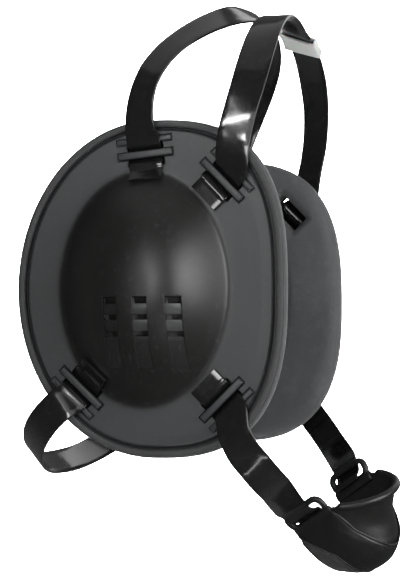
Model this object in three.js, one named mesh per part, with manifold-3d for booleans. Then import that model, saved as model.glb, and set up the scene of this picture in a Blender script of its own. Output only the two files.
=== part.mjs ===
// Wrestling ear guard: two vented ear cups on foam rings, tied by two crown straps,
// a nape strap and a chin strap that carries a soft chin cup.
// Millimetres. +Z is up, -Y is the way the wearer faces, +X is the wearer's left.
// The origin lies midway between the ear cups, where the head is.

import * as THREE from 'three';
import { mergeVertices } from 'three/addons/utils/BufferGeometryUtils.js';
import Module from 'manifold-3d';

const wasm = await Module();
wasm.setup();

// Clearance between neighbouring pieces
const GAP = 0.3;

// Ear cups. In a cup's own frame x runs forward, y up and z out of the head.
const FACE_X = 85;
const CUP_FRONT = 59.9;
const CUP_REAR = 62.5;
const CUP_HALF_HEIGHT = 75;
const FRONT_SQUARENESS = 2.74;
const SHELL_WALL = 2.4;
const AROUND = 40;

// Rim bead round each cup, and the groove inside it
const RIM_INSET = 0.7;
const RIM_WIDTH = 3.3;
const RIM_CROWN = 1.1;
const GROOVE_WIDTH = 1.2;
const GROOVE_DEPTH = 1.0;

// Dome over the ear
const DOME_X = -3.2;
const DOME_Y = -0.3;
const DOME_HALF_WIDTH = 38;
const DOME_HALF_HEIGHT = 51.5;
const DOME_RISE = 26;
const DOME_FORWARD_LEAN = 7;
const DOME_BULGE = 2.4;
const DOME_SOFTNESS = 1.15;

// Vents: three upright channels, each with deeper windows between its rungs
const VENT_WIDTH = 6.9;
const VENT_PITCH = 14;
const VENT_SHIFT = 1.7;
const VENT_TOP = -4.5;
const VENT_LENGTH = 31.5;
const VENT_DEPTH = 0.8;
const WINDOW_DEPTH = 1.8;
const VENT_WINDOWS = [
  { from: 0, to: 0.09 },
  { from: 0.25, to: 0.315 },
  { from: 0.475, to: 0.54 },
];

// Foam ring behind each shell
const PAD_THICKNESS = 12;
const EAR_HALF_WIDTH = 33;
const EAR_HALF_HEIGHT = 47;
const POCKET_MARGIN = 1.5;
const POCKET_DEPTH = 3;

// Straps and their anchors
const STRAP_WIDTH = 15;
const STRAP_THICKNESS = 1.4;
const BAR_LENGTH = 24.5;
const BAR_WIDTH = 2.8;
const BAR_CROWN = 2.0;
const BAR_SINK = 0.5;
const SLOT_WIDTH = 3.8;
const RIB_WIDTH = 2.2;
const RIB_CROWN = 0.5;
const TAIL_LENGTH = 11.5;
const ANCHORS = {
  topRear: { at: 92.5, faces: 95.5, inset: 15.8, throughPad: true },
  topFront: { at: 55.5, faces: 43.8, inset: 18.8, throughPad: true },
  bottomFront: { at: -56.9, faces: -45.2, inset: 17.4, throughPad: false },
  bottomRear: { at: 234.1, faces: 226.5, inset: 15.6, throughPad: false },
};

// Head that the straps go round
const HALF_SPAN = FACE_X + 2.5;
const CROWN_HEIGHT = 133;
const CROWN_REACH = 48;
const NAPE_REACH = 74;
const NAPE_DROP = 82;
const CHIN_REACH = 65;
const CHIN_DROP = 95;

// Strap routes, each row a share of the half span, of the reach and of the height,
// and the turn of the strap's width in degrees, positive where its front edge lies in
const REAR_CROWN_ROUTE = [
  { side: -1.024, ahead: -0.084, up: 0.535, turn: -18 },
  { side: -1.019, ahead: -0.085, up: 0.597, turn: -23 },
  { side: -0.994, ahead: -0.058, up: 0.667, turn: -24 },
  { side: -0.949, ahead: 0.013, up: 0.74, turn: -17 },
  { side: -0.87, ahead: 0.135, up: 0.812, turn: -7 },
  { side: -0.738, ahead: 0.292, up: 0.88, turn: 6 },
  { side: -0.543, ahead: 0.45, up: 0.944, turn: 18 },
  { side: -0.302, ahead: 0.577, up: 0.995, turn: 30 },
  { side: -0.051, ahead: 0.655, up: 1.017, turn: 33 },
  { side: 0.197, ahead: 0.671, up: 1.013, turn: 47 },
  { side: 0.446, ahead: 0.615, up: 0.984, turn: 44 },
  { side: 0.686, ahead: 0.501, up: 0.931, turn: 31 },
  { side: 0.886, ahead: 0.346, up: 0.858, turn: 15 },
  { side: 1.008, ahead: 0.181, up: 0.76, turn: 8 },
  { side: 1.022, ahead: 0.038, up: 0.637, turn: 6 },
];
const FRONT_CROWN_ROUTE = [
  { side: -1.02, ahead: 0.782, up: 0.445, turn: -3 },
  { side: -1.015, ahead: 0.807, up: 0.51, turn: 3 },
  { side: -0.999, ahead: 0.846, up: 0.577, turn: 2 },
  { side: -0.972, ahead: 0.892, up: 0.647, turn: 7 },
  { side: -0.926, ahead: 0.929, up: 0.72, turn: 9 },
  { side: -0.85, ahead: 0.955, up: 0.793, turn: 6 },
  { side: -0.739, ahead: 0.969, up: 0.862, turn: 1 },
  { side: -0.597, ahead: 0.975, up: 0.92, turn: -1 },
  { side: -0.433, ahead: 0.981, up: 0.962, turn: -1 },
  { side: -0.25, ahead: 0.994, up: 0.981, turn: 9 },
  { side: -0.031, ahead: 1.007, up: 0.978, turn: 22 },
  { side: 0.23, ahead: 1.017, up: 0.954, turn: 20 },
  { side: 0.507, ahead: 1.012, up: 0.907, turn: 14 },
  { side: 0.747, ahead: 0.99, up: 0.838, turn: 13 },
  { side: 0.918, ahead: 0.96, up: 0.75, turn: 22 },
  { side: 1.009, ahead: 0.918, up: 0.643, turn: 24 },
  { side: 1.022, ahead: 0.854, up: 0.52, turn: 25 },
];
const NAPE_ROUTE = [
  { side: -1.02, ahead: -0.547, up: -0.628, turn: 5 },
  { side: -1.012, ahead: -0.619, up: -0.685, turn: 6 },
  { side: -0.954, ahead: -0.7, up: -0.75, turn: 1 },
  { side: -0.838, ahead: -0.784, up: -0.818, turn: 0 },
  { side: -0.67, ahead: -0.863, up: -0.885, turn: 0 },
  { side: -0.462, ahead: -0.93, up: -0.943, turn: -2 },
  { side: -0.231, ahead: -0.977, up: -0.986, turn: -5 },
  { side: 0.009, ahead: -1.002, up: -1.008, turn: -11 },
  { side: 0.247, ahead: -1.002, up: -1.009, turn: -11 },
  { side: 0.473, ahead: -0.979, up: -0.991, turn: -15 },
  { side: 0.674, ahead: -0.935, up: -0.951, turn: -15 },
  { side: 0.837, ahead: -0.875, up: -0.894, turn: -10 },
  { side: 0.952, ahead: -0.798, up: -0.825, turn: -4 },
  { side: 1.012, ahead: -0.707, up: -0.75, turn: -1 },
  { side: 1.022, ahead: -0.602, up: -0.669, turn: 0 },
];
const CHIN_RIGHT_ROUTE = [
  { side: -1.018, ahead: 0.587, up: -0.661, turn: -6 },
  { side: -1.021, ahead: 0.647, up: -0.744, turn: -12 },
  { side: -1.001, ahead: 0.723, up: -0.812, turn: -19 },
  { side: -0.937, ahead: 0.781, up: -0.875, turn: -17 },
  { side: -0.809, ahead: 0.81, up: -0.927, turn: -15 },
  { side: -0.645, ahead: 0.818, up: -0.96, turn: -7 },
];
const CHIN_LEFT_ROUTE = [
  { side: 1.021, ahead: 0.605, up: -0.608, turn: -8 },
  { side: 0.998, ahead: 0.66, up: -0.655, turn: -10 },
  { side: 0.929, ahead: 0.744, up: -0.714, turn: -9 },
  { side: 0.812, ahead: 0.853, up: -0.793, turn: -4 },
];

// Keeper on the front crown strap
const KEEPER_LENGTH = 14;
const KEEPER_WALL = 1.2;
const KEEPER_OVERHANG = 1.8;
const KEEPER_AT = 0.26;

// Chin cup. In its own frame x runs to the wearer's left, y back and z up.
const CHIN_CUP_YAW = 17;
const CHIN_CUP_ROLL = 17;
const CHIN_HALF_WIDTH = 24;
const CHIN_DEPTH = 38.6;
const CHIN_LENGTH = 34.5;
const CHIN_WALL = 2.2;
const FRAME_LENGTH = 24.5;
const FRAME_DEPTH = 11;
const FRAME_THICKNESS = 3;
const FRAME_BAR = 3;
const CHIN_COLUMNS = 18;

// Sections of the chin cup from the mouth's rim to its rear lower edge: where each leaves
// the side frames and where it crosses the middle, as shares of the length and depth
const CHIN_SECTIONS = [
  { endForward: 0.36, endUp: 0.05, midForward: 1.0, midUp: 0.06, out: 0.0 },
  { endForward: 0.33, endUp: 0.01, midForward: 0.91, midUp: -0.12, out: 0.01 },
  { endForward: 0.3, endUp: -0.03, midForward: 0.87, midUp: -0.3, out: 0.02 },
  { endForward: 0.24, endUp: -0.07, midForward: 0.9, midUp: -0.48, out: 0.03 },
  { endForward: 0.2, endUp: -0.1, midForward: 0.91, midUp: -0.61, out: 0.04 },
  { endForward: 0.1, endUp: -0.15, midForward: 0.8, midUp: -0.8, out: 0.04 },
  { endForward: 0.0, endUp: -0.2, midForward: 0.6, midUp: -0.93, out: 0.03 },
  { endForward: -0.12, endUp: -0.25, midForward: 0.4, midUp: -0.99, out: 0.02 },
  { endForward: -0.22, endUp: -0.3, midForward: 0.22, midUp: -1.0, out: 0.0 },
];

// Materials
const finish = (color, roughness) => new THREE.MeshStandardMaterial({ color, roughness, metalness: 0 });
const SHELL_LOOK = finish(0x2c2d2e, 0.45);
const RIM_LOOK = finish(0x6c6e6f, 0.7);
const PAD_LOOK = finish(0x3a3a39, 0.9);
const STRAP_LOOK = finish(0x1b1b1c, 0.25);
const KEEPER_LOOK = finish(0xdedfe0, 0.5);
const CHIN_LOOK = finish(0x333434, 0.6);

// Closed meshes

// Turns vertices and triangles into a geometry whose faces point out
function closedGeometry(positions, triangles) {
  let volume = 0;
  const a = new THREE.Vector3();
  const b = new THREE.Vector3();
  const c = new THREE.Vector3();
  for (let i = 0; i < triangles.length; i += 3) {
    a.fromArray(positions, triangles[i] * 3);
    b.fromArray(positions, triangles[i + 1] * 3);
    c.fromArray(positions, triangles[i + 2] * 3);
    volume += a.dot(b.cross(c));
  }
  const facing = triangles.slice();
  if (volume < 0) {
    facing.reverse();
  }
  const geometry = new THREE.BufferGeometry();
  geometry.setAttribute('position', new THREE.Float32BufferAttribute(positions, 3));
  geometry.setIndex(facing);
  return geometry;
}

// Skins rings of equal count: into a ring-shaped body when wrapped, else with two end caps
function skin(rings, wrapped) {
  const count = rings[0].length;
  const positions = rings.flat().flatMap((p) => [p.x, p.y, p.z]);
  const triangles = [];
  const spans = wrapped ? rings.length : rings.length - 1;
  for (let i = 0; i < spans; i += 1) {
    const here = i * count;
    const next = ((i + 1) % rings.length) * count;
    for (let j = 0; j < count; j += 1) {
      const k = (j + 1) % count;
      triangles.push(here + j, here + k, next + k, here + j, next + k, next + j);
    }
  }
  if (!wrapped) {
    for (let j = 1; j < count - 1; j += 1) {
      const last = (rings.length - 1) * count;
      triangles.push(0, j + 1, j, last, last + j, last + j + 1);
    }
  }
  return closedGeometry(positions, triangles);
}

function toSolid(geometry) {
  const bare = geometry.clone();
  bare.deleteAttribute('normal');
  bare.deleteAttribute('uv');
  const merged = mergeVertices(bare, 1e-4);
  return new wasm.Manifold(new wasm.Mesh({
    numProp: 3,
    vertProperties: Float32Array.from(merged.attributes.position.array),
    triVerts: Uint32Array.from(merged.index.array),
  }));
}

function toGeometry(solid) {
  const mesh = solid.getMesh();
  return closedGeometry(Array.from(mesh.vertProperties), Array.from(mesh.triVerts));
}

function mirrored(geometry) {
  const flipped = geometry.clone().scale(-1, 1, 1);
  return closedGeometry(Array.from(flipped.attributes.position.array), Array.from(flipped.index.array));
}

function named(name, geometry, material) {
  geometry.computeVertexNormals();
  const mesh = new THREE.Mesh(geometry, material);
  mesh.name = name;
  return mesh;
}

// Cup outlines

// Distance from the cup's centre to its outline, at an angle from forward towards up
function outlineRadius(angle, inset) {
  const c = Math.cos(angle);
  const s = Math.sin(angle);
  const reach = (c > 0 ? CUP_FRONT : CUP_REAR) - inset;
  const power = c > 0 ? FRONT_SQUARENESS : 2;
  const sum = Math.abs(c / reach) ** power + Math.abs(s / (CUP_HALF_HEIGHT - inset)) ** power;
  return sum ** (-1 / power);
}

function outlineRing(inset, z) {
  return Array.from({ length: AROUND }, (_, i) => {
    const angle = (i / AROUND) * 2 * Math.PI;
    const r = outlineRadius(angle, inset);
    return new THREE.Vector3(r * Math.cos(angle), r * Math.sin(angle), z);
  });
}

function ovalRing(halfWidth, halfHeight, shiftX, z) {
  return Array.from({ length: AROUND }, (_, i) => {
    const angle = (i / AROUND) * 2 * Math.PI;
    const r = 1 / Math.hypot(Math.cos(angle) / halfWidth, Math.sin(angle) / halfHeight);
    return new THREE.Vector3(DOME_X + shiftX + r * Math.cos(angle), DOME_Y + r * Math.sin(angle), z);
  });
}

// Dome

const domeShare = (share) => (1 - share ** DOME_BULGE) ** DOME_SOFTNESS;

function domeRing(share, inset, drop) {
  const lean = DOME_FORWARD_LEAN * (1 - share);
  const z = (DOME_RISE - inset) * domeShare(share) - drop;
  return ovalRing((DOME_HALF_WIDTH - inset) * share, (DOME_HALF_HEIGHT - inset) * share, lean, z);
}

// Height of the outer skin over a point of the flange or dome
function skinHeight(x, y) {
  let low = 0;
  let high = 1;
  for (let i = 0; i < 30; i += 1) {
    const share = (low + high) / 2;
    const across = (x - DOME_X - DOME_FORWARD_LEAN * (1 - share)) / DOME_HALF_WIDTH;
    const along = (y - DOME_Y) / DOME_HALF_HEIGHT;
    if (Math.hypot(across, along) > share) {
      low = share;
    } else {
      high = share;
    }
  }
  return DOME_RISE * domeShare(high);
}

const DOME_SHARES = [0.04, 0.2, 0.38, 0.54, 0.68, 0.79, 0.88, 0.95, 1];

function shellBody(sink) {
  const edge = RIM_INSET + RIM_WIDTH + GAP;
  const outer = DOME_SHARES.map((share) => domeRing(share, sink, 0));
  outer.push(outlineRing(edge + GROOVE_WIDTH, 0), outlineRing(edge, -GROOVE_DEPTH));
  const inner = DOME_SHARES.map((share) => domeRing(share, SHELL_WALL, SHELL_WALL)).reverse();
  return toSolid(skin([...outer, outlineRing(edge, -SHELL_WALL), ...inner], false));
}

// Boxes in a cup's frame: along an anchor's outward way, across it, and out of the head
function box(fromX, toX, fromY, toY, fromZ, toZ) {
  const geometry = new THREE.BoxGeometry(toX - fromX, toY - fromY, toZ - fromZ);
  return geometry.translate((fromX + toX) / 2, (fromY + toY) / 2, (fromZ + toZ) / 2);
}

function anchorMatrix(anchor) {
  const at = THREE.MathUtils.degToRad(anchor.at);
  const r = outlineRadius(at, 0) - anchor.inset;
  const turn = new THREE.Matrix4().makeRotationZ(THREE.MathUtils.degToRad(anchor.faces));
  return turn.setPosition(r * Math.cos(at), r * Math.sin(at), 0);
}

const SLOT_REACH = BAR_WIDTH / 2 + SLOT_WIDTH;
const SLOT_HALF = STRAP_WIDTH / 2 + 1.2;

function cutAnchor(shell, anchor) {
  const place = anchorMatrix(anchor);
  const half = BAR_LENGTH / 2;
  const cut = box(-SLOT_REACH, SLOT_REACH, -SLOT_HALF, SLOT_HALF, -2 * SHELL_WALL, 2 * SHELL_WALL);
  const bar = box(-BAR_WIDTH / 2, BAR_WIDTH / 2, -half, half, -BAR_SINK, BAR_CROWN);
  const rib = box(SLOT_REACH, SLOT_REACH + RIB_WIDTH, -half, half, -BAR_SINK, RIB_CROWN);
  const opened = shell.subtract(toSolid(cut.applyMatrix4(place)));
  return opened.add(toSolid(bar.applyMatrix4(place))).add(toSolid(rib.applyMatrix4(place)));
}

function cutVents(shell) {
  const floor = shellBody(VENT_DEPTH);
  const deepFloor = shellBody(WINDOW_DEPTH);
  let vented = shell;
  for (const step of [-1, 0, 1]) {
    const left = VENT_SHIFT + step * VENT_PITCH - VENT_WIDTH / 2;
    const column = toSolid(box(left, left + VENT_WIDTH, VENT_TOP - VENT_LENGTH, VENT_TOP, 1, 2 * DOME_RISE));
    vented = vented.subtract(column.subtract(floor));
    for (const { from, to } of VENT_WINDOWS) {
      const top = VENT_TOP - from * VENT_LENGTH;
      const bottom = VENT_TOP - to * VENT_LENGTH;
      const window = toSolid(box(left, left + VENT_WIDTH, bottom, top, 1, 2 * DOME_RISE));
      vented = vented.subtract(window.subtract(deepFloor));
    }
  }
  return vented;
}

function shellGeometry() {
  let shell = cutVents(shellBody(0));
  for (const anchor of Object.values(ANCHORS)) {
    shell = cutAnchor(shell, anchor);
  }
  return toGeometry(shell);
}

// Rim bead

const RIM_SECTION = [
  { across: 0, up: -1 },
  { across: 0, up: 0 },
  { across: 0.2, up: 0.75 },
  { across: 0.5, up: 1 },
  { across: 0.8, up: 0.75 },
  { across: 1, up: 0 },
  { across: 1, up: -1 },
];

function rimGeometry() {
  const rings = RIM_SECTION.map(({ across, up }) => {
    const z = up < 0 ? up * SHELL_WALL : up * RIM_CROWN;
    return outlineRing(RIM_INSET + across * RIM_WIDTH, z);
  });
  return skin(rings, true);
}

// Foam ring

const PAD_OUTSIDE = [
  { inset: 0.06, deep: 0 },
  { inset: 0, deep: 0.3 },
  { inset: 0.1, deep: 0.64 },
  { inset: 0.4, deep: 0.93 },
  { inset: 0.8, deep: 1 },
];
const PAD_INSIDE = [
  { inset: 0.45, deep: 1 },
  { inset: 0.1, deep: 0.86 },
  { inset: 0, deep: 0.4 },
  { inset: 0.06, deep: 0 },
];

function padGeometry() {
  const top = -SHELL_WALL - GAP;
  const round = PAD_THICKNESS * 0.9;
  const outside = PAD_OUTSIDE.map(({ inset, deep }) => (
    outlineRing(inset * round, top - deep * PAD_THICKNESS)));
  const inside = PAD_INSIDE.map(({ inset, deep }) => ovalRing(
    EAR_HALF_WIDTH + inset * round,
    EAR_HALF_HEIGHT + inset * round,
    0,
    top - deep * PAD_THICKNESS,
  ));
  let pad = toSolid(skin([...outside, ...inside], true));
  const reach = BAR_WIDTH / 2 + SLOT_WIDTH / 2 + POCKET_MARGIN;
  const half = STRAP_WIDTH / 2 + POCKET_MARGIN;
  for (const anchor of Object.values(ANCHORS)) {
    const depth = anchor.throughPad ? 2 * PAD_THICKNESS : POCKET_DEPTH;
    const pocket = box(-reach, reach, -half, half, top - depth, top + PAD_THICKNESS);
    pad = pad.subtract(toSolid(pocket.applyMatrix4(anchorMatrix(anchor))));
  }
  return toGeometry(pad);
}

// Cups in place. The left cup is the right one mirrored.

function cupMatrix(side) {
  const forward = new THREE.Vector3(0, side, 0);
  const out = new THREE.Vector3(side, 0, 0);
  const turn = new THREE.Matrix4().makeBasis(forward, new THREE.Vector3(0, 0, 1), out);
  return turn.setPosition(side * FACE_X, 0, 0);
}

function cup(word, side) {
  const group = new THREE.Group();
  const pieces = [
    [`${word}_shell`, shellGeometry(), SHELL_LOOK],
    [`${word}_rim`, rimGeometry(), RIM_LOOK],
    [`${word}_pad`, padGeometry(), PAD_LOOK],
  ];
  for (const [name, geometry, material] of pieces) {
    group.add(named(name, side < 0 ? geometry : mirrored(geometry), material));
  }
  group.applyMatrix4(cupMatrix(side));
  return group;
}

// Straps

// A strap is a list of sections, each a centre and the way of its width
const section = (point, across) => ({ point, across });

// Sections of a strap at an anchor: the tail on the shell, under the bar and over the rib
function anchorSections(anchor, side, way) {
  const place = anchorMatrix(anchor);
  const under = -BAR_SINK - GAP - STRAP_THICKNESS / 2 - 0.6;
  const half = BAR_WIDTH / 2;
  const rest = GAP + STRAP_THICKNESS / 2;
  const middle = half + SLOT_WIDTH * 0.42;
  const profile = [
    { out: half + 0.2, z: under },
    { out: middle, z: under + 1.6 },
    { out: half + SLOT_WIDTH * 0.76, z: RIB_CROWN + rest },
    { out: SLOT_REACH + RIB_WIDTH / 2, z: RIB_CROWN + rest + 0.8 },
  ];
  const tail = [
    { out: -TAIL_LENGTH, z: null },
    { out: -TAIL_LENGTH + 2.5, z: null },
    { out: -SLOT_REACH - 1.6, z: null },
    { out: -SLOT_REACH + 0.4, z: null },
    { out: -middle, z: under + 1.6 },
    { out: -half - 0.2, z: under },
  ];
  return [...tail, ...profile].map(({ out, z }) => {
    const centre = new THREE.Vector3(out, 0, 0).applyMatrix4(place);
    const nearby = [-1, 0, 1].flatMap((step) => [-0.5, 0, 0.5].map((share) => (
      new THREE.Vector3(out + step, share * STRAP_WIDTH, 0).applyMatrix4(place))));
    centre.z = z ?? Math.max(...nearby.map((p) => skinHeight(p.x, p.y))) + rest + 0.35;
    const across = new THREE.Vector3(0, -1, 0).transformDirection(place);
    if (side > 0) {
      centre.x *= -1;
      across.x *= -1;
    }
    across.transformDirection(cupMatrix(side));
    return section(centre.applyMatrix4(cupMatrix(side)), across.multiplyScalar(Math.sign(across.dot(way))));
  });
}

function orthogonal(across, tangent) {
  return across.clone().addScaledVector(tangent, -across.dot(tangent)).normalize();
}

// Sections of a route between anchors, with the width laid along a common way and turned
function routeSections(route, reach, height, way) {
  const points = route.map(({ side, ahead, up }) => (
    new THREE.Vector3(side * HALF_SPAN, -ahead * reach, up * height)));
  return route.map(({ turn }, i) => {
    const before = points[Math.max(i - 1, 0)];
    const after = points[Math.min(i + 1, points.length - 1)];
    const tangent = after.clone().sub(before).normalize();
    const across = orthogonal(way, tangent);
    across.applyAxisAngle(tangent, THREE.MathUtils.degToRad(turn));
    return section(points[i], across);
  });
}

// Flat strap through its sections, each stretch cut into steps
function strapGeometry(sections, steps) {
  const curve = new THREE.CatmullRomCurve3(sections.map(({ point }) => point), false, 'centripetal');
  const last = sections.length - 1;
  const rings = [];
  const count = last * steps;
  for (let i = 0; i <= count; i += 1) {
    const t = i / count;
    const k = Math.min(Math.floor(i / steps), last - 1);
    const blend = i / steps - k;
    const across = sections[k].across.clone().lerp(sections[k + 1].across, blend);
    const tangent = curve.getTangent(t);
    const wide = orthogonal(across, tangent).multiplyScalar(STRAP_WIDTH / 2);
    const thick = new THREE.Vector3().crossVectors(tangent, wide).setLength(STRAP_THICKNESS / 2);
    const centre = curve.getPoint(t);
    rings.push([[1, 1], [-1, 1], [-1, -1], [1, -1]].map(([w, h]) => (
      centre.clone().addScaledVector(wide, w).addScaledVector(thick, h))));
  }
  return skin(rings, false);
}

function betweenCups(anchor, route, reach, height, way) {
  const start = anchorSections(anchor, -1, way);
  const end = anchorSections(anchor, 1, way).reverse();
  return [...start, ...routeSections(route, reach, height, way), ...end];
}

const FRONTWARD = new THREE.Vector3(0, -1, 0);
const NAPEWARD = new THREE.Vector3(0, -0.6, -0.8);
const CHINWARD = new THREE.Vector3(-0.2, -0.75, 0.6);

function crownStrap(name, anchor, route) {
  const sections = betweenCups(anchor, route, CROWN_REACH, CROWN_HEIGHT, FRONTWARD);
  return named(name, strapGeometry(sections, 2), STRAP_LOOK);
}

function napeStrap() {
  const sections = betweenCups(ANCHORS.bottomRear, NAPE_ROUTE, NAPE_REACH, NAPE_DROP, NAPEWARD);
  return named('nape_strap', strapGeometry(sections, 2), STRAP_LOOK);
}

// Keeper: a flat sleeve round the front crown strap, past its crown
function keeper() {
  const sections = routeSections(FRONT_CROWN_ROUTE, CROWN_REACH, CROWN_HEIGHT, FRONTWARD);
  const after = sections.findIndex(({ point }) => point.x > KEEPER_AT * HALF_SPAN);
  const [a, b] = [sections[after - 1], sections[after]];
  const blend = (KEEPER_AT * HALF_SPAN - a.point.x) / (b.point.x - a.point.x);
  const curve = new THREE.CatmullRomCurve3(sections.map(({ point }) => point), false, 'centripetal');
  const t = (after - 1 + blend) / (sections.length - 1);
  const along = curve.getTangent(t);
  const wide = orthogonal(a.across.clone().lerp(b.across, blend), along);
  const out = new THREE.Vector3().crossVectors(along, wide);
  const front = STRAP_WIDTH / 2 + GAP + 0.2;
  const rear = -STRAP_WIDTH / 2 - KEEPER_OVERHANG;
  const half = STRAP_THICKNESS / 2 + GAP + 0.6;
  const length = KEEPER_LENGTH / 2;
  const block = toSolid(box(-length, length, rear - KEEPER_WALL, front + KEEPER_WALL,
    -half - KEEPER_WALL, half + KEEPER_WALL));
  const hollow = toSolid(box(-KEEPER_LENGTH, KEEPER_LENGTH, rear, front, -half, half));
  const mesh = named('crown_keeper', toGeometry(block.subtract(hollow)), KEEPER_LOOK);
  mesh.applyMatrix4(new THREE.Matrix4().makeBasis(along, wide, out).setPosition(curve.getPoint(t)));
  return mesh;
}

// Chin cup

function chinMatrix() {
  const yaw = new THREE.Matrix4().makeRotationZ(THREE.MathUtils.degToRad(-CHIN_CUP_YAW));
  const roll = new THREE.Matrix4().makeRotationY(THREE.MathUtils.degToRad(-CHIN_CUP_ROLL));
  return yaw.multiply(roll).setPosition(0, -CHIN_REACH, -CHIN_DROP);
}

const FRAME_SLOPE = Math.atan2(0.34 * CHIN_DEPTH, 0.58 * CHIN_LENGTH);
const FRAME_FORWARD = 0.07 * CHIN_LENGTH;
const FRAME_UP = -0.14 * CHIN_DEPTH;

// Point of the bowl's skin, from the left frame at 0 to the right frame at 1
function bowlPoint(row, turn, inset) {
  const bend = Math.sin(Math.PI * turn) ** 1.1;
  const endY = -row.endForward * CHIN_LENGTH;
  const endZ = row.endUp * CHIN_DEPTH;
  const midY = -row.midForward * CHIN_LENGTH + inset;
  const midZ = row.midUp * CHIN_DEPTH + (row.midUp < -0.6 ? inset : 0);
  const half = CHIN_HALF_WIDTH * (1 + row.out * Math.sin(Math.PI * turn)) - inset;
  const x = half * Math.cos(Math.PI * turn);
  return new THREE.Vector3(x, endY + (midY - endY) * bend, endZ + (midZ - endZ) * bend);
}

function bowlSolid() {
  const rings = [];
  for (let i = 0; i <= CHIN_COLUMNS; i += 1) {
    const turn = i / CHIN_COLUMNS;
    const outside = CHIN_SECTIONS.map((row) => bowlPoint(row, turn, 0));
    const inside = CHIN_SECTIONS.map((row) => bowlPoint(row, turn, CHIN_WALL)).reverse();
    rings.push([...outside, ...inside]);
  }
  return toSolid(skin(rings, false));
}

// Matrix of a side frame: x out along the strap, y along the slot, z through the frame
function frameMatrix(side) {
  const slot = new THREE.Vector3(0, -Math.cos(FRAME_SLOPE), Math.sin(FRAME_SLOPE));
  const lean = new THREE.Vector3(side * 0.35, Math.sin(FRAME_SLOPE), Math.cos(FRAME_SLOPE)).normalize();
  const through = new THREE.Vector3().crossVectors(lean, slot);
  const turn = new THREE.Matrix4().makeBasis(lean, slot, through);
  return turn.setPosition(side * (CHIN_HALF_WIDTH - CHIN_WALL / 2), -FRAME_FORWARD, FRAME_UP);
}

function frameSolid(side) {
  const half = FRAME_LENGTH / 2;
  const thick = FRAME_THICKNESS / 2;
  const plate = toSolid(box(-FRAME_BAR, FRAME_DEPTH, -half, half, -thick, thick));
  const slot = toSolid(box(FRAME_BAR, FRAME_DEPTH - FRAME_BAR, -half + FRAME_BAR, half - FRAME_BAR, -9, 9));
  const open = toGeometry(plate.subtract(slot)).applyMatrix4(frameMatrix(side));
  return toSolid(open);
}

function chinCup() {
  const whole = bowlSolid().add(frameSolid(-1)).add(frameSolid(1));
  const mesh = named('chin_cup', toGeometry(whole), CHIN_LOOK);
  mesh.applyMatrix4(chinMatrix());
  return mesh;
}

// Sections of a chin strap's end: under the frame's outer bar, out through the slot and
// over the inner bar, as shares of half the slot and of the strap's lift off the frame
const FRAME_PASS = [
  { along: 3.6, through: -1 },
  { along: 2.2, through: -1 },
  { along: 1.1, through: -1 },
  { along: 0.4, through: -0.74 },
  { along: 0, through: -0.2 },
  { along: 0, through: 0.2 },
  { along: -0.4, through: 0.74 },
  { along: -1.1, through: 1 },
  { along: -2.2, through: 1 },
];

function frameSections(side) {
  const place = chinMatrix().multiply(frameMatrix(side));
  const middle = FRAME_DEPTH / 2;
  const halfSlot = middle - FRAME_BAR;
  const lift = FRAME_THICKNESS / 2 + GAP + STRAP_THICKNESS / 2 + 0.1;
  const back = FRAME_LENGTH / 2 - FRAME_BAR - STRAP_WIDTH / 2 - GAP - 0.1;
  return FRAME_PASS.map(({ along, through }) => section(
    new THREE.Vector3(middle + along * halfSlot, -back, side * through * lift).applyMatrix4(place),
    new THREE.Vector3(0, 1, 0).transformDirection(place),
  ));
}

function chinStrap(name, side, route) {
  const start = anchorSections(ANCHORS.bottomFront, side, CHINWARD);
  const middle = routeSections(route, CHIN_REACH, CHIN_DROP, CHINWARD);
  return named(name, strapGeometry([...start, ...middle, ...frameSections(side)], 2), STRAP_LOOK);
}

// Whole guard

const earGuard = new THREE.Group();
earGuard.add(cup('right', -1));
earGuard.add(cup('left', 1));
earGuard.add(crownStrap('rear_crown_strap', ANCHORS.topRear, REAR_CROWN_ROUTE));
earGuard.add(crownStrap('front_crown_strap', ANCHORS.topFront, FRONT_CROWN_ROUTE));
earGuard.add(keeper());
earGuard.add(napeStrap());
earGuard.add(chinCup());
earGuard.add(chinStrap('chin_strap_right', -1, CHIN_RIGHT_ROUTE));
earGuard.add(chinStrap('chin_strap_left', 1, CHIN_LEFT_ROUTE));

export default earGuard;
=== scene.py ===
# %% [markdown]
# # A wrestling ear guard, dressed in Blender
# The guard is two hard ear cups on foam rings, tied by flat rubber straps over the head, round
# the nape and under the chin. Its solids come in as a fixed frame. Each step below looks at one
# piece of the real guard, says how it could be made, and builds a finer piece in its place.

# %% Load the frame and keep its size
import bpy
import bmesh
import math
from mathutils import Matrix, Vector


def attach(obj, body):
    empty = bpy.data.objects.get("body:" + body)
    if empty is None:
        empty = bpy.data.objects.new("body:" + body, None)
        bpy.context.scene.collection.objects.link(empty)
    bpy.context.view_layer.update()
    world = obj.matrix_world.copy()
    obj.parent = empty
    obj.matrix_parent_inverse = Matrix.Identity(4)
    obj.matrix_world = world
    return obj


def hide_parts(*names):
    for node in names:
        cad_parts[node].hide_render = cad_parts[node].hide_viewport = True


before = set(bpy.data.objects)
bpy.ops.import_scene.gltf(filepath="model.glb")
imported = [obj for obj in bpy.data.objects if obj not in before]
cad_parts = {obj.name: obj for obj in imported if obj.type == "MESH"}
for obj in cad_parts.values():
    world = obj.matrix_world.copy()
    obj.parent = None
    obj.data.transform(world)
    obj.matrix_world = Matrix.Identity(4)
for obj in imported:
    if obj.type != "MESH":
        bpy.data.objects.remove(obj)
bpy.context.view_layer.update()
MM = 0.001
print("solids:", sorted(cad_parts))

# %% [markdown]
# ## The camera
# The picture was taken from the wearer's right, a little ahead of the ear and a little below it.
# A long lens from some 0.8 metres away shows the far cup about four fifths as large as the near
# one. The lens is measured along the upright side of the frame, because that is the longer one.

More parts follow.
